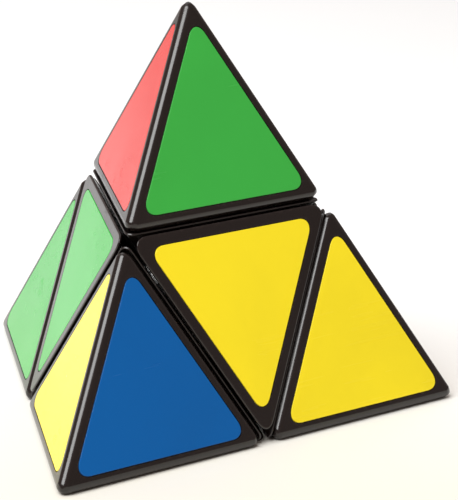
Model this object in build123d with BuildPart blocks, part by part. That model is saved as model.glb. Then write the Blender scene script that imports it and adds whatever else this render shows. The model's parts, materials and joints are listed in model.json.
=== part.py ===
"""Pyramid twisty puzzle: four corners and four face centres on a ball mechanism.

The puzzle is cut by three planes at right angles, so every piece is worked out in
the mechanism's own frame: its centre at the origin and its three turning axes along
x, y and z. The pyramid's tips lie at (s, s, s), (s, -s, -s), (-s, s, -s), (-s, -s, s).
Each finished piece is then stood on the bottom face, +Z up, with the origin at the
middle of that face.
"""

from build123d import *
from math import sqrt
import os

os.makedirs("parts", exist_ok=True)

# ------------------------------------------------------------ driving sizes, mm
edge_length = 80.0  # sharp tip to sharp tip
gap = 0.4  # between neighbouring pieces
edge_round = 1.2  # the pyramid's six long edges
corner_gap_round = 1.05  # a corner shell's edges along the gaps
centre_gap_round = 0.3  # a centre shell's edges along the gaps
corner_seam_round = 1.4  # a corner's shell and base, where two gaps cross
centre_seam_round = 2.4  # a centre's shell and base, where two gaps cross

shell_wall = 1.8
rim_thickness = 0.25  # a corner base's rim, seen in the gap
rim_inset = 0.45  # below the shell's outside
rim_round = 0.1
groove_width = 0.35  # between that rim and its shell
base_plate = 1.6
base_fit = 0.1  # base inside shell

sticker_margin = 2.25  # from a face's sharp edges
sticker_round = 1.7
sticker_thickness = 0.3  # its recess is as deep, so it lies flush
recess_clearance = 0.12

dish_wall = 1.1  # the thinnest part of a centre base
slide = 0.2  # between the mechanism's spherical layers
side_clearance = 0.1  # each side of a cut inside the mechanism
wing_depth = 3.2  # outer layer: caps and wings
foot_depth = 2.7  # inner layer: stems and feet
outer_cut_share = 0.43  # a cut's distance from centre, of the outer layer's inside
hook_width = 1.5  # how far a foot reaches under its neighbour
piece_round = 0.5  # the long edges of necks, feet, wings and caps
layer_overlap = 0.3  # how far a neck runs into the solid at each end

screw_radius = 0.9
screw_end = 2.83  # from the middle of the core, where the six would meet
head_radius = 1.8
head_thickness = 0.8
head_below_cap = 0.2
socket_width = 1.3
socket_depth = 0.45
thread_clearance = 0.02
bore_clearance = 0.1
washer_edge = 0.2  # past the spring
washer_thickness = 0.3
pocket_clearance = 0.25  # round the screw head and washer
spring_clearance = 0.35  # round the screw
spring_wire = 0.4
spring_turns = 3

key_radius = 1.2
key_depth = 1.5
key_clearance = 0.05

# ------------------------------------------------------------ worked out
s = edge_length / (2 * sqrt(2))
face_distance = s / sqrt(3)
half_gap = gap / 2
rim_end = half_gap + rim_thickness
shell_start = rim_end + groove_width
ball_radius = face_distance - shell_wall - base_fit - dish_wall
wing_outer = ball_radius - slide
wing_inner = wing_outer - wing_depth
foot_outer = wing_inner - slide
foot_inner = foot_outer - foot_depth
core_radius = foot_inner - slide
outer_cut = wing_inner * outer_cut_share
inner_cut = outer_cut - hook_width
recess_depth = sticker_thickness
small_face_side = edge_length / 2
small_face_inradius = small_face_side / (2 * sqrt(3))
reach = 4 * s  # well past the outside of the puzzle

face_normals = [
    Vector(-1, 1, 1).normalized(),
    Vector(1, -1, 1).normalized(),
    Vector(1, 1, -1).normalized(),
    Vector(-1, -1, -1).normalized(),
]

# where the mechanism stands in the puzzle's own frame
stand = Plane(
    origin=(0, 0, face_distance),
    x_dir=(-1 / sqrt(2), -1 / sqrt(6), 1 / sqrt(3)),
    z_dir=(0, 2 / sqrt(6), 1 / sqrt(3)),
).location

about_x = Rotation(180, 0, 0)
about_y = Rotation(0, 180, 0)
about_z = Rotation(0, 0, 180)
no_turn = Rotation(0, 0, 0)
next_axis = Plane(origin=(0, 0, 0), x_dir=(0, 1, 0), z_dir=(1, 0, 0)).location  # x to y to z


# ------------------------------------------------------------ building blocks
def pyramid(inset):
    """The sharp pyramid with every face moved in by inset."""
    with BuildPart() as solid:
        Box(reach, reach, reach)
        for normal in face_normals:
            side = Plane(origin=normal * (face_distance - inset), z_dir=normal)
            split(bisect_by=side, keep=Keep.BOTTOM)
    return solid


def rounded_pyramid(inset=0):
    with BuildPart() as solid:
        add(pyramid(inset).part)
        fillet(solid.edges(), edge_round)
    return solid


def octant(start, seam_round, sign=1):
    """One eighth of space, start away from each cut plane, its three seams rounded."""
    align = Align.MIN if sign > 0 else Align.MAX
    tip = (sign * start, sign * start, sign * start)
    with BuildPart() as block:
        with Locations(tip):
            Box(reach, reach, reach, align=(align, align, align))
        seams = block.edges().sort_by_distance(tip)[:3]
        fillet(seams, seam_round)
    return block


def ball_layer(inner, outer):
    with BuildPart() as layer:
        Sphere(outer)
        Sphere(inner, mode=Mode.SUBTRACT)
    return layer


def small_face(plane, margin, corner_round):
    """The outline of one small triangular face, in from its sharp edges by margin."""
    with BuildSketch(plane) as outline:
        RegularPolygon(2 * (small_face_inradius - margin), 3, rotation=90)
        fillet(outline.vertices(), corner_round)
    return outline


corner_face = Plane(origin=(2 * s / 3, 2 * s / 3, s / 3), x_dir=(-1, 1, 0), z_dir=(1, 1, -1))
centre_face = Plane(origin=(-s / 3, -s / 3, -s / 3), x_dir=(0, -1, 1), z_dir=(-1, -1, -1))
corner_face_turns = [no_turn, next_axis, next_axis * next_axis]


def export(solid, name, turn):
    """One finished piece, turned to its place and stood in the puzzle's frame."""
    with BuildPart() as piece:
        add(solid.part.moved(stand * turn))
    piece.part.label = name
    export_step(piece.part, "parts/" + name + ".step")


def gap_edges(block, far_end):
    """The edges that run along the gaps on a block's outside, no further from a cut than far_end."""
    found = []
    for edge in block.edges():
        middle = edge.center()
        to_cut = min(abs(middle.X), abs(middle.Y), abs(middle.Z))
        to_outside = face_distance - max(middle.dot(normal) for normal in face_normals)
        if to_cut < far_end + half_gap and to_outside < edge_round:
            found.append(edge)
    return found


# ------------------------------------------------------------ shells
def make_corner_shell():
    with BuildPart() as shell:
        add(rounded_pyramid().part)
        add(octant(shell_start, corner_seam_round).part, mode=Mode.INTERSECT)
        fillet(gap_edges(shell, shell_start), corner_gap_round)
        add(pyramid(shell_wall).part, mode=Mode.SUBTRACT)
        for turn in corner_face_turns:
            face = Plane(turn * corner_face.location)
            margin = sticker_margin - recess_clearance
            outline = small_face(face, margin, sticker_round + recess_clearance)
            extrude(outline.sketch, amount=-recess_depth, mode=Mode.SUBTRACT)
    return shell


def make_centre_shell():
    with BuildPart() as shell:
        add(rounded_pyramid().part)
        add(octant(half_gap, centre_seam_round, -1).part, mode=Mode.INTERSECT)
        fillet(gap_edges(shell, half_gap), centre_gap_round)
        add(pyramid(shell_wall).part, mode=Mode.SUBTRACT)
        margin = sticker_margin - recess_clearance
        outline = small_face(centre_face, margin, sticker_round + recess_clearance)
        extrude(outline.sketch, amount=-recess_depth, mode=Mode.SUBTRACT)
    return shell


# ------------------------------------------------------------ stickers
def make_sticker(face):
    with BuildPart() as sticker:
        outline = small_face(face.offset(-recess_depth), sticker_margin, sticker_round)
        extrude(outline.sketch, amount=sticker_thickness)
    return sticker


# ------------------------------------------------------------ bases
def make_base(sign, seam_round):
    """A base: three plates along the cuts, a dish on the ball, a neck and a foot."""
    plate_inset = shell_wall + base_fit
    with BuildPart() as plates:
        add(pyramid(plate_inset).part)
        add(octant(half_gap, seam_round, sign).part, mode=Mode.INTERSECT)
        add(octant(half_gap + base_plate, seam_round, sign).part, mode=Mode.SUBTRACT)
    with BuildPart() as dish:
        add(pyramid(plate_inset).part)
        add(octant(half_gap, seam_round, sign).part, mode=Mode.INTERSECT)
        add(ball_layer(ball_radius, ball_radius + dish_wall).part, mode=Mode.INTERSECT)
    with BuildPart() as neck:
        add(ball_layer(foot_outer - layer_overlap, ball_radius + layer_overlap).part)
        add(octant(outer_cut + side_clearance, piece_round, sign).part, mode=Mode.INTERSECT)
    with BuildPart() as foot:
        add(ball_layer(foot_inner, foot_outer).part)
        add(octant(inner_cut + side_clearance, piece_round, sign).part, mode=Mode.INTERSECT)
    with BuildPart() as base:
        add(plates.part)
        Sphere(ball_radius, mode=Mode.SUBTRACT)
        add(dish.part)
        add(neck.part)
        add(foot.part)
    return base


def make_corner_base():
    """A corner's base also has a thin rim that shows between the shells."""
    with BuildPart() as rim:
        add(rounded_pyramid(rim_inset).part)
        add(octant(half_gap, corner_seam_round).part, mode=Mode.INTERSECT)
        add(octant(rim_end, corner_seam_round).part, mode=Mode.SUBTRACT)
        fillet(gap_edges(rim, rim_end), rim_round)
        Sphere(ball_radius, mode=Mode.SUBTRACT)
    with BuildPart() as base:
        add(make_base(1, corner_seam_round).part)
        add(rim.part)
    return base


def make_anchored_base():
    """The bottom centre's base has a key that sits in the core."""
    inward = Plane(origin=Vector(-1, -1, -1).normalized() * (foot_inner + layer_overlap), z_dir=(1, 1, 1))
    with BuildPart() as base:
        add(make_base(-1, centre_seam_round).part)
        with BuildSketch(inward):
            Circle(key_radius)
        extrude(amount=layer_overlap + slide + key_depth)
    return base


# ------------------------------------------------------------ caps, wings and core
cap_half = outer_cut - side_clearance
stem_half = inner_cut - side_clearance
head_top = wing_outer - head_below_cap
head_bottom = head_top - head_thickness
washer_bottom = head_bottom - washer_thickness
spring_radius = screw_radius + spring_clearance + spring_wire / 2
washer_radius = spring_radius + spring_wire / 2 + washer_edge
pocket_radius = max(head_radius, washer_radius) + pocket_clearance


def square_block(half_width, inner, outer):
    """A square block along +z between two balls."""
    with BuildPart() as block:
        Box(2 * half_width, 2 * half_width, reach, align=(Align.CENTER, Align.CENTER, Align.MIN))
        fillet(block.edges().filter_by(Axis.Z), piece_round)
        add(ball_layer(inner, outer).part, mode=Mode.INTERSECT)
    return block


def make_cap():
    """A spring-loaded cap on the +z axis, bored for its screw."""
    with BuildPart() as cap:
        add(square_block(cap_half, wing_inner, wing_outer).part)
        add(square_block(stem_half, foot_inner, wing_inner + layer_overlap).part)
        with Locations((0, 0, wing_outer)):
            pocket_depth = wing_outer - wing_inner
            CounterBoreHole(screw_radius + bore_clearance, pocket_radius, pocket_depth, wing_outer)
    return cap


def wing_cell(start, half_height, inner, outer):
    """The part of a ball layer between +x and +y, start away from both cuts."""
    corner = (Align.MIN, Align.MIN, Align.CENTER)
    with BuildPart() as cell:
        with Locations((start, start, 0)):
            Box(reach, reach, 2 * half_height, align=corner)
        fillet(cell.edges().filter_by(Axis.Z).sort_by_distance((start, start, 0))[0], piece_round)
        add(ball_layer(inner, outer).part, mode=Mode.INTERSECT)
    return cell


def make_inner_edge():
    """A hidden edge: a wing over the corner feet, on a foot that hooks under the caps."""
    with BuildPart() as edge:
        add(wing_cell(outer_cut + side_clearance, cap_half, wing_inner, wing_outer).part)
        add(wing_cell(outer_cut + side_clearance, stem_half, foot_outer - layer_overlap, wing_outer).part)
        add(wing_cell(inner_cut + side_clearance, stem_half, foot_inner, foot_outer).part)
    return edge


to_x = next_axis
to_y = next_axis * next_axis
axis_turns = {
    "top_left": to_x,
    "right_back": to_x * about_x,
    "top_right": to_y,
    "left_back": to_y * about_x,
    "top_back": no_turn,
    "left_right": about_x,
}


def make_core():
    socket = Plane(origin=Vector(-1, -1, -1).normalized() * (core_radius - key_depth), z_dir=(-1, -1, -1))
    with BuildPart() as core:
        Sphere(core_radius)
        for turn in axis_turns.values():
            with BuildSketch(Plane(turn * Location((0, 0, screw_end)))):
                Circle(screw_radius + thread_clearance)
            extrude(amount=reach, mode=Mode.SUBTRACT)
        with BuildSketch(socket):
            Circle(key_radius + key_clearance)
        extrude(amount=reach, mode=Mode.SUBTRACT)
    return core


# ------------------------------------------------------------ fasteners
def make_screw():
    with BuildPart() as screw:
        with BuildSketch(Plane.XY.offset(screw_end)):
            Circle(screw_radius)
        extrude(amount=head_bottom - screw_end)
        with BuildSketch(Plane.XY.offset(head_bottom)):
            Circle(head_radius)
        extrude(amount=head_thickness)
        with BuildSketch(Plane.XY.offset(head_top)):
            RegularPolygon(socket_width / 2, 6, major_radius=False)
        extrude(amount=-socket_depth, mode=Mode.SUBTRACT)
    return screw


def make_washer():
    with BuildPart() as washer:
        with BuildSketch(Plane.XY.offset(washer_bottom)):
            Circle(washer_radius)
            Circle(screw_radius + bore_clearance, mode=Mode.SUBTRACT)
        extrude(amount=washer_thickness)
    return washer


def make_spring():
    rise = washer_bottom - wing_inner - spring_wire
    with BuildPart() as spring:
        with BuildLine(Plane.XY.offset(wing_inner + spring_wire / 2)):
            coil = Helix(rise / spring_turns, rise, spring_radius)
        with BuildSketch(Plane(origin=coil @ 0, z_dir=coil % 0)):
            Circle(spring_wire / 2)
        sweep()
    return spring


def export_group(solid, name):
    """Six like pieces, one on each axis, as separate solids in one node."""
    with BuildPart() as group:
        for turn in axis_turns.values():
            add(solid.part.moved(stand * turn))
    group.part.label = name
    export_step(group.part, "parts/" + name + ".step")


# ------------------------------------------------------------ the whole puzzle
corners = {"top": no_turn, "left": about_x, "right": about_y, "back": about_z}
centres = {"bottom": no_turn, "right": about_x, "left": about_y, "front": about_z}
corner_stickers = {
    "top": ["front", "right", "left"],
    "left": ["left", "bottom", "front"],
    "right": ["right", "front", "bottom"],
    "back": ["bottom", "left", "right"],
}
quarter = Rotation(0, 0, 90)
quarter_turns = [no_turn, quarter, about_z, about_z * quarter]
inner_edges = [  # round the z axis, the x axis and the y axis
    ["top_front", "right_right", "back_bottom", "left_left"],
    ["top_right", "back_left", "left_bottom", "right_front"],
    ["top_left", "left_front", "right_bottom", "back_right"],
]

corner_shell = make_corner_shell()
corner_base = make_corner_base()
corner_sticker = make_sticker(corner_face)
for name, turn in corners.items():
    export(corner_shell, name + "_corner_shell", turn)
    export(corner_base, name + "_corner_base", turn)
    for face_name, face_turn in zip(corner_stickers[name], corner_face_turns):
        export(corner_sticker, "sticker_" + name + "_" + face_name, turn * face_turn)

centre_shell = make_centre_shell()
centre_base = make_base(-1, centre_seam_round)
centre_sticker = make_sticker(centre_face)
for name, turn in centres.items():
    export(centre_shell, name + "_centre_shell", turn)
    export(centre_sticker, "sticker_" + name + "_centre", turn)
    if name == "bottom":
        export(make_anchored_base(), "bottom_centre_base", turn)
    else:
        export(centre_base, name + "_centre_base", turn)

cap = make_cap()
for name, turn in axis_turns.items():
    export(cap, "cap_" + name, turn)

inner_edge = make_inner_edge()
for names, axis in zip(inner_edges, [no_turn, to_x, to_y]):
    for name, turn in zip(names, quarter_turns):
        export(inner_edge, "inner_edge_" + name, axis * turn)

export(make_core(), "core", no_turn)
export_group(make_screw(), "axis_screws")
export_group(make_washer(), "axis_washers")
export_group(make_spring(), "axis_springs")
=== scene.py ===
"""Looks of the pyramid twisty puzzle: glossy black shells, laminated stickers and the works inside.

Every piece is modelled once in the mechanism's own frame, where the three cuts are the
planes x = 0, y = 0 and z = 0, and its copies are then turned to their places.
"""

import json
import math

import bpy
from mathutils import Matrix, Vector


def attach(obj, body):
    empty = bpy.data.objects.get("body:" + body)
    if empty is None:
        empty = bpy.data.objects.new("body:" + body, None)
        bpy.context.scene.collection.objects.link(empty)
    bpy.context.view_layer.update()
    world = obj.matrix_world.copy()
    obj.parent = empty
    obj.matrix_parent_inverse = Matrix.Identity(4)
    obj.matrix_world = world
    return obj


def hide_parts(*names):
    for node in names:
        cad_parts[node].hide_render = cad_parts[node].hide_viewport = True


bl_info = {
    "name": "Pyramid Twisty Puzzle",
    "version": (1, 0, 0),
    "blender": (4, 5, 0),
    "location": "View3D > Sidebar > Puzzle",
    "description": "Models the puzzle's shells and stickers and gives every piece its finish",
    "category": "Object",
}

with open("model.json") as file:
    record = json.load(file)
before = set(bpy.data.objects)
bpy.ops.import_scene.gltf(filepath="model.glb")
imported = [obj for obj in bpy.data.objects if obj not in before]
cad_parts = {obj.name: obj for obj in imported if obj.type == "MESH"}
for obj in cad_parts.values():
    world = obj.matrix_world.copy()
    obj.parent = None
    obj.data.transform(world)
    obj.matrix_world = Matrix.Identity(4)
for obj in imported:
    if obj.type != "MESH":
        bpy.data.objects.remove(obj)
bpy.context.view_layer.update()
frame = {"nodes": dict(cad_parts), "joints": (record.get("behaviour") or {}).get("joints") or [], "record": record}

record = frame["record"]
joints = {joint["name"]: joint for joint in frame["joints"]}
node_slot = {part["node"]: part["material_slot"] for part in record["subparts"]}
node_body = {}
for body_name, body_nodes in record["behaviour"]["bodies"].items():
    for node_name in body_nodes:
        node_body[node_name] = body_name

MM = 0.001

# the stage: a long lens a little above and to the left of the front face
CAMERA_PLACE = (-0.2633, -0.3157, 0.1456)
CAMERA_TILT, CAMERA_LEAN, CAMERA_SWING = 73.63, -2.39, -40.19  # degrees about x, y and z
CAMERA_LENS, CAMERA_SENSOR = 202.4, 36.0  # millimetres
TOWARDS_CAMERA = (-0.64, -0.77, 0)  # along the floor
FLOOR_SIZE = 12
# painted shade: the near floor colour is a darker, warmer copy of the far one, faded in between these two
# distances
FLOOR_FAR, FLOOR_NEAR_SHADED = (0.87, 0.9, 0.91), (0.68, 0.665, 0.6)
FADE_START, FADE_END = -0.1, 0.05  # where the floor goes from far to near
LIGHTS = [  # direction seen from the puzzle's middle; metres and watts
    {"name": "key", "direction": (-0.6, -0.1, 0.79), "distance": 0.9, "size": 0.72, "power": 14},
    {"name": "overhead", "direction": (0.35, 0.55, 0.9), "distance": 1.4, "size": 1.2, "power": 5},
]
STUDIO_COLOUR, STUDIO_STRENGTH = (1.0, 0.8, 0.73, 1), 0.3

# how finely the rounds are cut
LONG_EDGE_SEGMENTS = 7
SEAM_SEGMENTS = 9
CENTRE_EDGE_SEGMENTS = 4
STICKER_CORNER_SEGMENTS = 12
STICKER_EDGE_SEGMENTS = 3
FINE_EDGE_SEGMENTS = 2


# ------------------------------------------------------------ where things are
def mechanism_matrix():
    """From the mechanism's frame to the puzzle's: its three turning axes and their crossing."""
    axes = [Vector(joints[name]["axis"]).normalized() for name in ("x_turn", "y_turn", "z_turn")]
    turn = Matrix((axes[0], axes[1], axes[2])).transposed().to_4x4()
    return Matrix.Translation(joints["x_turn"]["pos_m"]) @ turn


STAND = mechanism_matrix()
FACE_DISTANCE = STAND.translation.z
TIP = FACE_DISTANCE * math.sqrt(3)  # a sharp tip lies at (TIP, TIP, TIP)

FACE_NORMALS = {
    "right": Vector((-1, 1, 1)).normalized(),
    "left": Vector((1, -1, 1)).normalized(),
    "front": Vector((1, 1, -1)).normalized(),
    "bottom": Vector((-1, -1, -1)).normalized(),
}
NO_TURN = Matrix.Identity(4)
HALF_TURNS = [Matrix.Rotation(math.pi, 4, axis) for axis in "XYZ"]
NEXT_AXIS = Matrix(((0, 0, 1, 0), (1, 0, 0, 0), (0, 1, 0, 0), (0, 0, 0, 1)))  # x to y to z

CORNERS = {"top": NO_TURN, "left": HALF_TURNS[0], "right": HALF_TURNS[1], "back": HALF_TURNS[2]}
CENTRES = {"bottom": NO_TURN, "right": HALF_TURNS[0], "left": HALF_TURNS[1], "front": HALF_TURNS[2]}
FACE_TURNS = [NO_TURN, NEXT_AXIS, NEXT_AXIS @ NEXT_AXIS]
CORNER_STICKERS = {
    "top": ["front", "right", "left"],
    "left": ["left", "bottom", "front"],
    "right": ["right", "front", "bottom"],
    "back": ["bottom", "left", "right"],
}


def small_face_matrix(normal, side, middle):
    """A frame on one small triangular face: z outwards, y towards its far tip."""
    z = normal
    x = Vector(side).normalized()
    y = z.cross(x)
    turn = Matrix((x, y, z)).transposed().to_4x4()
    return Matrix.Translation(Vector(middle)) @ turn


CORNER_FACE = small_face_matrix(
    FACE_NORMALS["front"], (-1, 1, 0), (2 * TIP / 3, 2 * TIP / 3, TIP / 3)
)
CENTRE_FACE = small_face_matrix(
    FACE_NORMALS["bottom"], (0, -1, 1), (-TIP / 3, -TIP / 3, -TIP / 3)
)


# ------------------------------------------------------------ settings
def length(name, description, default):
    return bpy.props.FloatProperty(
        name=name, description=description, default=default, min=0, unit="LENGTH", precision=5
    )


def colour(name, description, default):
    return bpy.props.FloatVectorProperty(
        name=name, description=description, default=default, size=3, min=0, max=1, subtype="COLOR"
    )


class PuzzleSizes(bpy.types.PropertyGroup):
    """Sizes of the shells and stickers."""

    wall: length("Shell wall", "Thickness of every shell", 1.8 * MM)
    half_gap: length("Half gap", "From a cut plane to a centre shell", 0.2 * MM)
    corner_start: length("Corner shell start", "From a cut plane to a corner shell", 0.8 * MM)
    edge_round: length("Long edge round", "Radius along the pyramid's six long edges", 1.2 * MM)
    corner_gap: length("Corner gap round", "Radius along a corner shell's gap edges", 1.05 * MM)
    centre_gap: length("Centre gap round", "Radius along a centre shell's gap edges", 0.3 * MM)
    corner_seam: length("Corner seam round", "Radius of a corner shell where gaps cross", 1.4 * MM)
    centre_seam: length("Centre seam round", "Radius of a centre shell where gaps cross", 2.4 * MM)
    margin: length("Sticker margin", "From a face's sharp edges to the sticker", 2.25 * MM)
    sticker_round: length("Sticker corner", "Corner radius of a sticker", 1.7 * MM)
    sticker_thickness: length("Sticker thickness", "Also the depth of its recess", 0.3 * MM)
    sticker_edge: length("Sticker edge round", "Radius along a sticker's upper edge", 0.07 * MM)
    recess_gap: length("Recess gap", "Between a sticker and its recess", 0.12 * MM)
    fine_edge: length("Fine edge round", "Radius of the sharp moulded edges", 0.06 * MM)


class PuzzleColours(bpy.types.PropertyGroup):
    """Colours of the plastics and stickers."""

    black: colour("Black plastic", "Shells and bases", (0.0075, 0.005, 0.0045))
    works: colour("Works", "Caps and inner edges", (0.02, 0.02, 0.021))
    core: colour("Core", "The ball in the middle", (0.72, 0.71, 0.66))
    green: colour("Green", "Green stickers", (0.045, 0.42, 0.06))
    blue: colour("Blue", "Blue stickers", (0.001, 0.105, 0.37))
    yellow: colour("Yellow", "Yellow stickers", (0.93, 0.76, 0.02))
    red: colour("Red", "Red stickers", (0.62, 0.022, 0.016))
    steel: colour("Steel", "Screws, washers and springs", (0.6, 0.6, 0.59))


def sizes():
    return bpy.context.scene.puzzle_sizes


def colours():
    return bpy.context.scene.puzzle_colours


# ------------------------------------------------------------ modelling by hand
def deselect_all():
    if bpy.context.mode != "OBJECT":
        bpy.ops.object.mode_set(mode="OBJECT")
    bpy.ops.object.select_all(action="DESELECT")


def make_active(piece):
    deselect_all()
    piece.select_set(True)
    bpy.context.view_layer.objects.active = piece


def edit_all(piece):
    """Edit mode with everything selected."""
    make_active(piece)
    bpy.ops.object.mode_set(mode="EDIT")
    bpy.ops.mesh.select_all(action="SELECT")


def leave_edit():
    bpy.ops.object.mode_set(mode="OBJECT")


def new_block(name, low, high):
    """A block from low to high along all three axes."""
    deselect_all()
    middle = (low + high) / 2
    bpy.ops.mesh.primitive_cube_add(size=high - low, location=(middle, middle, middle))
    block = bpy.context.object
    block.name = name
    bpy.ops.object.transform_apply(location=True, rotation=True, scale=True)
    return block


def cut_away(piece, point, normal):
    """Cuts the piece on a plane, closes it and throws away the side that normal points to."""
    edit_all(piece)
    bpy.ops.mesh.bisect(
        plane_co=point, plane_no=normal, use_fill=True, clear_outer=True, threshold=1e-7
    )
    leave_edit()


def touches(a, b, point, near=0.02 * MM):
    return (a - point).length < near or (b - point).length < near


def set_bevel_weights(piece, weight_of):
    """Writes each edge's share of the bevel, from its two ends."""
    mesh = piece.data
    name = "bevel_weight_edge"
    weights = mesh.attributes.get(name) or mesh.attributes.new(name, "FLOAT", "EDGE")
    for edge in mesh.edges:
        a, b = (mesh.vertices[i].co for i in edge.vertices)
        weights.data[edge.index].value = weight_of(a, b)


def apply_modifier(piece, kind, **settings):
    make_active(piece)
    modifier = piece.modifiers.new(kind.lower(), kind)
    for key, value in settings.items():
        setattr(modifier, key, value)
    bpy.ops.object.modifier_apply(modifier=modifier.name)


def round_weighted(piece, width, segments):
    apply_modifier(
        piece,
        "BEVEL",
        limit_method="WEIGHT",
        offset_type="OFFSET",
        width=width,
        segments=segments,
        profile=0.5,
        use_clamp_overlap=False,
        loop_slide=True,
    )


def round_sharp(piece, width, angle=55):
    apply_modifier(
        piece,
        "BEVEL",
        limit_method="ANGLE",
        angle_limit=math.radians(angle),
        width=width,
        segments=FINE_EDGE_SEGMENTS,
        profile=0.5,
        use_clamp_overlap=True,
    )


def take_away(piece, cutter):
    apply_modifier(piece, "BOOLEAN", operation="DIFFERENCE", solver="EXACT", object=cutter)
    bpy.data.objects.remove(cutter)


def finish_shading(piece):
    """Smooth over the rounds, flat on the flats."""
    make_active(piece)
    bpy.ops.object.shade_smooth_by_angle(angle=math.radians(40))
    apply_modifier(piece, "WEIGHTED_NORMAL", weight=90, keep_sharp=True)


def merge_close(piece):
    edit_all(piece)
    bpy.ops.mesh.remove_doubles(threshold=1e-7)
    bpy.ops.mesh.normals_make_consistent(inside=False)
    leave_edit()


def setback(radius, opening):
    """How far from a sharp edge a round of this radius starts, for the angle between the faces."""
    return radius / math.tan(opening / 2)


LONG_EDGE_ANGLE = math.acos(1 / 3)
OBTUSE_GAP_ANGLE = math.acos(-1 / math.sqrt(3))
ACUTE_GAP_ANGLE = math.pi - OBTUSE_GAP_ANGLE


def rounded_triangle(name, margin, corner_round, height):
    """A flat slab with the outline of a small face, its top at z = 0."""
    inradius = TIP * math.sqrt(2) / 2 / math.sqrt(3) - margin
    deselect_all()
    bpy.ops.mesh.primitive_circle_add(
        vertices=3, radius=2 * inradius, fill_type="NGON", location=(0, 0, 0)
    )
    slab = bpy.context.object
    slab.name = name
    edit_all(slab)
    bpy.ops.mesh.bevel(
        offset=setback(corner_round, math.pi / 3),
        offset_type="OFFSET",
        segments=STICKER_CORNER_SEGMENTS,
        profile=0.5,
        affect="VERTICES",
        clamp_overlap=False,
    )
    bpy.ops.mesh.select_all(action="SELECT")
    bpy.ops.mesh.extrude_region_move(TRANSFORM_OT_translate={"value": (0, 0, -height)})
    bpy.ops.mesh.select_all(action="SELECT")
    bpy.ops.mesh.normals_make_consistent(inside=False)
    leave_edit()
    return slab


def place(piece, matrix):
    """Moves the piece's mesh and leaves its object at the origin."""
    make_active(piece)
    piece.matrix_world = matrix
    bpy.ops.object.transform_apply(location=True, rotation=True, scale=True)


def copy_to(model, name, matrix):
    """A copy with its own mesh, placed by matrix."""
    piece = model.copy()
    piece.data = model.data.copy()
    piece.name = name
    piece.data.name = name
    bpy.context.scene.collection.objects.link(piece)
    place(piece, matrix)
    return piece


def hand_over(piece, node, finish):
    """The piece stands for a CAD node: its body, slot and material."""
    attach(piece, node_body[node])
    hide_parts(node)
    piece.data.materials.clear()
    piece.data.materials.append(finish)


# ------------------------------------------------------------ node building
def new_group(name, inputs, outputs):
    """An empty shader group with float or vector or colour sockets."""
    group = bpy.data.node_groups.new(name, "ShaderNodeTree")
    for socket_name, kind, default in inputs:
        socket = group.interface.new_socket(socket_name, in_out="INPUT", socket_type=kind)
        if default is not None:
            socket.default_value = default
    for socket_name, kind in outputs:
        group.interface.new_socket(socket_name, in_out="OUTPUT", socket_type=kind)
    return group, group.nodes.new("NodeGroupInput"), group.nodes.new("NodeGroupOutput")


def join(tree, source, target):
    tree.links.new(source, target)


def math_node(tree, operation, first, second=None, clamp=False):
    node = tree.nodes.new("ShaderNodeMath")
    node.operation = operation
    node.use_clamp = clamp
    for socket, value in zip(node.inputs, (first, second)):
        if value is None:
            continue
        if isinstance(value, bpy.types.NodeSocket):
            join(tree, value, socket)
        else:
            socket.default_value = value
    return node.outputs[0]


def ranged(tree, value, low, high, new_low, new_high):
    """Maps low..high to new_low..new_high, held at its ends."""
    node = tree.nodes.new("ShaderNodeMapRange")
    join(tree, value, node.inputs["Value"])
    for socket_name, number in (
        ("From Min", low),
        ("From Max", high),
        ("To Min", new_low),
        ("To Max", new_high),
    ):
        if isinstance(number, bpy.types.NodeSocket):
            join(tree, number, node.inputs[socket_name])
        else:
            node.inputs[socket_name].default_value = number
    return node.outputs[0]


def noise(tree, vector, scale, detail=2.0, roughness=0.5, distortion=0.0):
    node = tree.nodes.new("ShaderNodeTexNoise")
    join(tree, vector, node.inputs["Vector"])
    if isinstance(scale, bpy.types.NodeSocket):
        join(tree, scale, node.inputs["Scale"])
    else:
        node.inputs["Scale"].default_value = scale
    node.inputs["Detail"].default_value = detail
    node.inputs["Roughness"].default_value = roughness
    node.inputs["Distortion"].default_value = distortion
    return node.outputs["Fac"]


def object_vector(tree):
    return tree.nodes.new("ShaderNodeTexCoord").outputs["Object"]


def stretched(tree, vector, turn, scale):
    """The vector turned and stretched, for marks that run one way."""
    node = tree.nodes.new("ShaderNodeMapping")
    join(tree, vector, node.inputs["Vector"])
    node.inputs["Rotation"].default_value = turn
    node.inputs["Scale"].default_value = scale
    return node.outputs[0]


def colour_sockets(node):
    """A mix node's two colours; it lists float, vector and colour sockets under the same names."""
    return [socket for socket in node.inputs if socket.type == "RGBA"]


def orange_peel_group():
    """Fine waviness of a glossy moulded or laminated surface, as a height."""
    group, start, end = new_group(
        "Orange peel",
        [("Ripple scale", "NodeSocketFloat", 900.0), ("Grain scale", "NodeSocketFloat", 9000.0)],
        [("Height", "NodeSocketFloat")],
    )
    where = object_vector(group)
    ripple = noise(group, where, start.outputs["Ripple scale"], 2.0)
    grain = noise(group, where, start.outputs["Grain scale"], 1.0)
    weak_grain = math_node(group, "MULTIPLY", grain, 0.12)
    join(group, math_node(group, "ADD", ripple, weak_grain), end.inputs["Height"])
    return group


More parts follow.
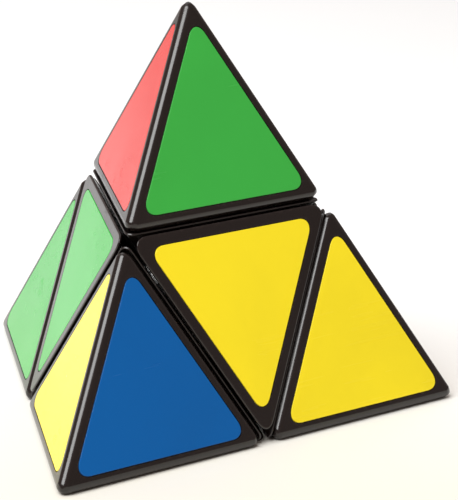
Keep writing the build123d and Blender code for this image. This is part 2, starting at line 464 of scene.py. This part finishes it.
def hairline_group():
    """Hairline scratches in two directions, as a mask."""
    group, start, end = new_group(
        "Hairlines",
        [("Scale", "NodeSocketFloat", 900.0), ("Amount", "NodeSocketFloat", 0.5)],
        [("Mask", "NodeSocketFloat")],
    )
    where = object_vector(group)
    found = None
    for turn in ((0.4, 0.3, 0.6), (1.3, 0.2, -0.7), (0.1, 1.1, 0.2)):
        line = noise(
            group,
            stretched(group, where, turn, (0.05, 1.0, 1.0)),
            start.outputs["Scale"],
            3.0,
            0.6,
        )
        thin = ranged(group, line, 0.62, 0.7, 0.0, 1.0)
        found = thin if found is None else math_node(group, "MAXIMUM", found, thin)
    patches = ranged(group, noise(group, where, 60.0, 2.0), 0.42, 0.62, 0.0, 1.0)
    shown = math_node(group, "MULTIPLY", found, patches)
    amount = math_node(group, "MULTIPLY", shown, start.outputs["Amount"])
    join(group, amount, end.inputs["Mask"])
    return group


def handling_group():
    """Broad, faint smears left by fingers, as a mask."""
    group, start, end = new_group(
        "Handling smears",
        [("Scale", "NodeSocketFloat", 70.0)],
        [("Mask", "NodeSocketFloat")],
    )
    where = object_vector(group)
    broad = noise(group, where, start.outputs["Scale"], 3.0, 0.55, 0.6)
    join(group, ranged(group, broad, 0.38, 0.72, 0.0, 1.0), end.inputs["Mask"])
    return group


def worn_edge_group():
    """Rounded edges rubbed by use, as a mask broken up by noise."""
    group, start, end = new_group(
        "Worn edges",
        [("Radius", "NodeSocketFloat", 0.0008)],
        [("Mask", "NodeSocketFloat")],
    )
    bevel = group.nodes.new("ShaderNodeBevel")
    bevel.samples = 4
    join(group, start.outputs["Radius"], bevel.inputs["Radius"])
    geometry = group.nodes.new("ShaderNodeNewGeometry")
    dot = group.nodes.new("ShaderNodeVectorMath")
    dot.operation = "DOT_PRODUCT"
    join(group, bevel.outputs["Normal"], dot.inputs[0])
    join(group, geometry.outputs["Normal"], dot.inputs[1])
    edge = ranged(group, dot.outputs["Value"], 0.999, 0.93, 0.0, 1.0)
    broken = ranged(group, noise(group, object_vector(group), 1400.0, 3.0), 0.45, 0.65, 0.0, 1.0)
    join(group, math_node(group, "MULTIPLY", edge, broken), end.inputs["Mask"])
    return group


GROUP_MAKERS = {
    "Orange peel": orange_peel_group,
    "Hairlines": hairline_group,
    "Handling smears": handling_group,
    "Worn edges": worn_edge_group,
}


def use_group(tree, name, **values):
    """The named group as a node in this material, made the first time it is asked for."""
    group = bpy.data.node_groups.get(name) or GROUP_MAKERS[name]()
    node = tree.nodes.new("ShaderNodeGroup")
    node.node_tree = group
    for key, value in values.items():
        node.inputs[key.replace("_", " ").capitalize()].default_value = value
    return node


def new_material(name):
    """A material with only its Principled shader and output."""
    material = bpy.data.materials.new(name)
    material.use_nodes = True
    tree = material.node_tree
    tree.nodes.clear()
    shader = tree.nodes.new("ShaderNodeBsdfPrincipled")
    output = tree.nodes.new("ShaderNodeOutputMaterial")
    join(tree, shader.outputs["BSDF"], output.inputs["Surface"])
    return material, tree, shader


def add_bump(tree, shader, height, distance):
    bump = tree.nodes.new("ShaderNodeBump")
    bump.inputs["Strength"].default_value = 1.0
    bump.inputs["Distance"].default_value = distance
    join(tree, height, bump.inputs["Height"])
    join(tree, bump.outputs["Normal"], shader.inputs["Normal"])


def tinted(tree, base, factor, other):
    """The base colour going to another colour where factor is 1."""
    node = tree.nodes.new("ShaderNodeMix")
    node.data_type = "RGBA"
    join(tree, factor, node.inputs[0])
    first, second = colour_sockets(node)
    first.default_value = (*base, 1)
    second.default_value = (*other, 1)
    return node.outputs[2]


def shaded(base, share):
    return tuple(min(1.0, part * share) for part in base)


# ------------------------------------------------------------ materials
def black_plastic():
    """Glossy moulded ABS."""
    material, tree, shader = new_material("black_shell_plastic")
    base = tuple(colours().black)
    smears = use_group(tree, "Handling smears", scale=55.0).outputs["Mask"]
    lines = use_group(tree, "Hairlines", scale=700.0, amount=0.7).outputs["Mask"]
    worn = use_group(tree, "Worn edges", radius=0.7 * MM).outputs["Mask"]
    rubbed = tree.nodes.new("ShaderNodeMix")
    rubbed.data_type = "RGBA"
    join(tree, worn, rubbed.inputs[0])
    first, second = colour_sockets(rubbed)
    join(tree, tinted(tree, base, smears, shaded(base, 1.25)), first)
    second.default_value = (*shaded(base, 2.4), 1)
    join(tree, rubbed.outputs[2], shader.inputs["Base Color"])
    rough = ranged(tree, smears, 0.0, 1.0, 0.16, 0.23)
    marked = math_node(tree, "ADD", rough, math_node(tree, "MULTIPLY", lines, 0.12))
    rubbed_rough = math_node(tree, "ADD", marked, math_node(tree, "MULTIPLY", worn, 0.1))
    join(tree, rubbed_rough, shader.inputs["Roughness"])
    shader.inputs["IOR"].default_value = 1.53
    peel = use_group(tree, "Orange peel", ripple_scale=700.0, grain_scale=7000.0)
    add_bump(tree, shader, peel.outputs["Height"], 0.004 * MM)
    return material


def base_plastic():
    """The bases: the same plastic, less polished."""
    material, tree, shader = new_material("black_base_plastic")
    base = tuple(colours().black)
    smears = use_group(tree, "Handling smears", scale=90.0).outputs["Mask"]
    join(tree, tinted(tree, base, smears, shaded(base, 1.35)), shader.inputs["Base Color"])
    join(tree, ranged(tree, smears, 0.0, 1.0, 0.24, 0.34), shader.inputs["Roughness"])
    shader.inputs["IOR"].default_value = 1.53
    peel = use_group(tree, "Orange peel", ripple_scale=1200.0, grain_scale=9000.0)
    add_bump(tree, shader, peel.outputs["Height"], 0.006 * MM)
    return material


def works_plastic():
    """Caps and inner edges: satin plastic polished where it slides."""
    material, tree, shader = new_material("works_plastic")
    base = tuple(colours().works)
    rubbed = use_group(tree, "Hairlines", scale=1600.0, amount=1.0).outputs["Mask"]
    smears = use_group(tree, "Handling smears", scale=160.0).outputs["Mask"]
    join(tree, tinted(tree, base, smears, shaded(base, 1.6)), shader.inputs["Base Color"])
    rough = ranged(tree, smears, 0.0, 1.0, 0.34, 0.48)
    shine = math_node(tree, "SUBTRACT", rough, math_node(tree, "MULTIPLY", rubbed, 0.12))
    join(tree, shine, shader.inputs["Roughness"])
    shader.inputs["IOR"].default_value = 1.5
    peel = use_group(tree, "Orange peel", ripple_scale=2500.0, grain_scale=16000.0)
    add_bump(tree, shader, peel.outputs["Height"], 0.008 * MM)
    return material


def core_plastic():
    """The core: off-white nylon."""
    material, tree, shader = new_material("core_plastic")
    base = tuple(colours().core)
    smears = use_group(tree, "Handling smears", scale=200.0).outputs["Mask"]
    join(tree, tinted(tree, base, smears, shaded(base, 0.82)), shader.inputs["Base Color"])
    join(tree, ranged(tree, smears, 0.0, 1.0, 0.38, 0.52), shader.inputs["Roughness"])
    shader.inputs["Subsurface Weight"].default_value = 0.1
    shader.inputs["Subsurface Scale"].default_value = 0.6 * MM
    peel = use_group(tree, "Orange peel", ripple_scale=2500.0, grain_scale=16000.0)
    add_bump(tree, shader, peel.outputs["Height"], 0.01 * MM)
    return material


def steel(name, rough_low, rough_high):
    """Plated or drawn steel with fine marks."""
    material, tree, shader = new_material(name)
    base = tuple(colours().steel)
    lines = use_group(tree, "Hairlines", scale=5000.0, amount=1.0).outputs["Mask"]
    smears = use_group(tree, "Handling smears", scale=400.0).outputs["Mask"]
    join(tree, tinted(tree, base, smears, shaded(base, 0.75)), shader.inputs["Base Color"])
    shader.inputs["Metallic"].default_value = 1.0
    rough = ranged(tree, smears, 0.0, 1.0, rough_low, rough_high)
    marked = math_node(tree, "ADD", rough, math_node(tree, "MULTIPLY", lines, 0.1))
    join(tree, marked, shader.inputs["Roughness"])
    add_bump(tree, shader, lines, 0.002 * MM)
    return material


def sticker_vinyl(name, base):
    """Printed vinyl under a glossy film."""
    material, tree, shader = new_material(name)
    smears = use_group(tree, "Handling smears", scale=45.0).outputs["Mask"]
    lines = use_group(tree, "Hairlines", scale=500.0, amount=0.6).outputs["Mask"]
    join(tree, tinted(tree, base, smears, shaded(base, 0.93)), shader.inputs["Base Color"])
    rough = ranged(tree, smears, 0.0, 1.0, 0.2, 0.27)
    marked = math_node(tree, "ADD", rough, math_node(tree, "MULTIPLY", lines, 0.15))
    join(tree, marked, shader.inputs["Roughness"])
    shader.inputs["IOR"].default_value = 1.5
    shader.inputs["Specular IOR Level"].default_value = 0.28
    peel = use_group(tree, "Orange peel", ripple_scale=450.0, grain_scale=6000.0)
    add_bump(tree, shader, peel.outputs["Height"], 0.006 * MM)
    return material


def finish_of(slot):
    """The material for a record slot, made the first time it is asked for."""
    name = "finish_" + slot
    made = bpy.data.materials.get(name)
    if made:
        return made
    if slot.endswith("_sticker"):
        made = sticker_vinyl(name, tuple(getattr(colours(), slot.split("_")[0])))
    else:
        made = {
            "black_shell": black_plastic,
            "black_base": base_plastic,
            "black_mechanism": works_plastic,
            "white_core": core_plastic,
            "zinc_screw": lambda: steel("zinc", 0.22, 0.3),
            "steel_washer": lambda: steel("washer", 0.26, 0.36),
            "spring_steel": lambda: steel("spring", 0.16, 0.24),
        }[slot]()
    made.name = name
    return made


# ------------------------------------------------------------ shells
def hollow_cutter(wall):
    """The inside of all shells: the pyramid with its faces moved in by the wall."""
    cutter = new_block("hollow_cutter", -2 * TIP, 2 * TIP)
    for normal in FACE_NORMALS.values():
        cut_away(cutter, normal * (FACE_DISTANCE - wall), normal)
    return cutter


def recess_cutter(matrix):
    """The pocket that a sticker lies in."""
    size = sizes()
    clear = size.recess_gap
    above = 2 * MM
    cutter = rounded_triangle(
        "recess_cutter",
        size.margin - clear,
        size.sticker_round + clear,
        size.sticker_thickness + above,
    )
    place(cutter, matrix @ Matrix.Translation((0, 0, above)))
    return cutter


def model_corner_shell():
    """A hollow tip with three faces, recessed for its stickers."""
    size = sizes()
    start = size.corner_start
    shell = new_block("corner_shell_model", start, 2 * TIP)
    for name in ("right", "left", "front"):
        normal = FACE_NORMALS[name]
        cut_away(shell, normal * FACE_DISTANCE, normal)
    tip = Vector((TIP, TIP, TIP))
    inner = Vector((start, start, start))
    long_setback = setback(size.edge_round, LONG_EDGE_ANGLE)

    def weight_of(a, b):
        if touches(a, b, tip):
            return 1.0
        if touches(a, b, inner):
            return size.corner_seam / long_setback
        return setback(size.corner_gap, OBTUSE_GAP_ANGLE) / long_setback

    set_bevel_weights(shell, weight_of)
    round_weighted(shell, long_setback, LONG_EDGE_SEGMENTS)
    take_away(shell, hollow_cutter(size.wall))
    for turn in FACE_TURNS:
        take_away(shell, recess_cutter(turn @ CORNER_FACE))
    merge_close(shell)
    round_sharp(shell, size.fine_edge)
    finish_shading(shell)
    return shell


def model_centre_shell():
    """A triangular plate with one recess."""
    size = sizes()
    start = -size.half_gap
    shell = new_block("centre_shell_model", -2 * TIP, start)
    outwards = FACE_NORMALS["bottom"]
    cut_away(shell, outwards * FACE_DISTANCE, outwards)
    cut_away(shell, outwards * (FACE_DISTANCE - size.wall), -outwards)
    middle = FACE_DISTANCE - size.wall / 2

    def is_seam(a, b):
        return (a.dot(outwards) < middle) != (b.dot(outwards) < middle)

    def is_outer_edge(a, b):
        return min(a.dot(outwards), b.dot(outwards)) > middle

    set_bevel_weights(shell, is_seam)
    round_weighted(shell, size.centre_seam, SEAM_SEGMENTS)
    set_bevel_weights(shell, is_outer_edge)
    edge_setback = setback(size.centre_gap, ACUTE_GAP_ANGLE)
    round_weighted(shell, edge_setback, CENTRE_EDGE_SEGMENTS)
    take_away(shell, recess_cutter(CENTRE_FACE))
    merge_close(shell)
    round_sharp(shell, size.fine_edge)
    finish_shading(shell)
    return shell


def model_sticker():
    """A sticker lying flat with its face at z = 0, its upper edge softly rounded."""
    size = sizes()
    sticker = rounded_triangle(
        "sticker_model", size.margin, size.sticker_round, size.sticker_thickness
    )
    set_bevel_weights(sticker, lambda a, b: 1.0 if min(a.z, b.z) > -0.01 * MM else 0.0)
    round_weighted(sticker, size.sticker_edge, STICKER_EDGE_SEGMENTS)
    finish_shading(sticker)
    return sticker


class PUZZLE_OT_corner_shells(bpy.types.Operator):
    """Models the four hollow corner shells"""

    bl_idname = "puzzle.corner_shells"
    bl_label = "Corner shells"

    def execute(self, context):
        model = model_corner_shell()
        for name, turn in CORNERS.items():
            shell = copy_to(model, "shell_" + name + "_corner", STAND @ turn)
            hand_over(shell, name + "_corner_shell", finish_of("black_shell"))
        bpy.data.objects.remove(model)
        return {"FINISHED"}


class PUZZLE_OT_centre_shells(bpy.types.Operator):
    """Models the four centre shells"""

    bl_idname = "puzzle.centre_shells"
    bl_label = "Centre shells"

    def execute(self, context):
        model = model_centre_shell()
        for name, turn in CENTRES.items():
            shell = copy_to(model, "shell_" + name + "_centre", STAND @ turn)
            hand_over(shell, name + "_centre_shell", finish_of("black_shell"))
        bpy.data.objects.remove(model)
        return {"FINISHED"}


class PUZZLE_OT_stickers(bpy.types.Operator):
    """Lays a sticker in every recess"""

    bl_idname = "puzzle.stickers"
    bl_label = "Stickers"

    def execute(self, context):
        model = model_sticker()
        places = {}
        for corner, turn in CORNERS.items():
            for face, face_turn in zip(CORNER_STICKERS[corner], FACE_TURNS):
                places[corner + "_" + face] = turn @ face_turn @ CORNER_FACE
        for face, turn in CENTRES.items():
            places[face + "_centre"] = turn @ CENTRE_FACE
        for name, matrix in places.items():
            node = "sticker_" + name
            sticker = copy_to(model, "vinyl_" + name, STAND @ matrix)
            hand_over(sticker, node, finish_of(node_slot[node]))
        bpy.data.objects.remove(model)
        return {"FINISHED"}


class PUZZLE_OT_works(bpy.types.Operator):
    """Gives the bases and the works inside their plastics and metals"""

    bl_idname = "puzzle.works"
    bl_label = "Bases and works"

    def execute(self, context):
        for node, piece in frame["nodes"].items():
            piece.data.materials.clear()
            piece.data.materials.append(finish_of(node_slot[node]))
        return {"FINISHED"}


# ------------------------------------------------------------ stage
def floor_material():
    """A paper sweep, white behind the puzzle and painted darker and warmer towards the camera: painted shade."""
    material, tree, shader = new_material("pale_floor")
    where = object_vector(tree)
    towards_camera = tree.nodes.new("ShaderNodeVectorMath")
    towards_camera.operation = "DOT_PRODUCT"
    join(tree, where, towards_camera.inputs[0])
    towards_camera.inputs[1].default_value = TOWARDS_CAMERA
    # painted shade: the floor goes to its darker, warmer colour towards the camera, with a random cloudy tone
    # added on top
    near = ranged(tree, towards_camera.outputs["Value"], FADE_START, FADE_END, 0.0, 1.0)
    cloudy = math_node(tree, "MULTIPLY", noise(tree, where, 9.0, 2.0), 0.12)
    shade_and_cloud_blend = math_node(tree, "ADD", near, cloudy, clamp=True)
    sheet = tinted(tree, FLOOR_FAR, shade_and_cloud_blend, FLOOR_NEAR_SHADED)
    join(tree, sheet, shader.inputs["Base Color"])
    shader.inputs["Roughness"].default_value = 0.7
    shader.inputs["Specular IOR Level"].default_value = 0.2
    return material


def add_light(name, direction, distance, size, power):
    """A square soft light that looks at the puzzle's middle."""
    light = bpy.data.lights.new(name, "AREA")
    light.shape = "SQUARE"
    light.size = size
    light.energy = power
    lamp = bpy.data.objects.new(name, light)
    bpy.context.scene.collection.objects.link(lamp)
    target = STAND.translation
    lamp.location = target + Vector(direction).normalized() * distance
    lamp.rotation_euler = (target - lamp.location).to_track_quat("-Z", "Y").to_euler()


def add_camera():
    data = bpy.data.cameras.new("camera")
    data.sensor_width = CAMERA_SENSOR
    data.lens = CAMERA_LENS
    camera = bpy.data.objects.new("camera", data)
    bpy.context.scene.collection.objects.link(camera)
    camera.location = CAMERA_PLACE
    angles = (CAMERA_TILT, CAMERA_LEAN, CAMERA_SWING)
    camera.rotation_euler = [math.radians(angle) for angle in angles]
    bpy.context.scene.camera = camera


def add_world():
    world = bpy.data.worlds.new("studio")
    world.use_nodes = True
    background = world.node_tree.nodes["Background"]
    background.inputs["Color"].default_value = STUDIO_COLOUR
    background.inputs["Strength"].default_value = STUDIO_STRENGTH
    bpy.context.scene.world = world


class PUZZLE_OT_stage(bpy.types.Operator):
    """Sets the floor, lights and camera"""

    bl_idname = "puzzle.stage"
    bl_label = "Stage"

    def execute(self, context):
        deselect_all()
        bpy.ops.mesh.primitive_plane_add(size=FLOOR_SIZE, location=(0, 0, 0))
        floor = bpy.context.object
        floor.name = "floor"
        floor.data.materials.append(floor_material())
        for light in LIGHTS:
            add_light(**light)
        add_world()
        add_camera()
        context.scene.view_settings.view_transform = "Standard"
        return {"FINISHED"}


# ------------------------------------------------------------ panel and running
OPERATORS = (
    PUZZLE_OT_corner_shells,
    PUZZLE_OT_centre_shells,
    PUZZLE_OT_stickers,
    PUZZLE_OT_works,
    PUZZLE_OT_stage,
)


class PUZZLE_PT_panel(bpy.types.Panel):
    """Lists the puzzle's pieces, sizes and colours"""

    bl_idname = "PUZZLE_PT_panel"
    bl_label = "Pyramid puzzle"
    bl_space_type = "VIEW_3D"
    bl_region_type = "UI"
    bl_category = "Puzzle"

    def draw(self, context):
        for operator in OPERATORS:
            self.layout.operator(operator.bl_idname)
        for settings in (context.scene.puzzle_sizes, context.scene.puzzle_colours):
            box = self.layout.box()
            for name in settings.__annotations__:
                box.prop(settings, name)


CLASSES = (PuzzleSizes, PuzzleColours, *OPERATORS, PUZZLE_PT_panel)


def register():
    for cls in CLASSES:
        bpy.utils.register_class(cls)
    bpy.types.Scene.puzzle_sizes = bpy.props.PointerProperty(type=PuzzleSizes)
    bpy.types.Scene.puzzle_colours = bpy.props.PointerProperty(type=PuzzleColours)


def unregister():
    del bpy.types.Scene.puzzle_colours
    del bpy.types.Scene.puzzle_sizes
    for cls in reversed(CLASSES):
        bpy.utils.unregister_class(cls)


def main():
    register()
    bpy.ops.puzzle.stage()
    bpy.ops.puzzle.works()
    bpy.ops.puzzle.corner_shells()
    bpy.ops.puzzle.centre_shells()
    bpy.ops.puzzle.stickers()


if __name__ == "__main__":
    main()
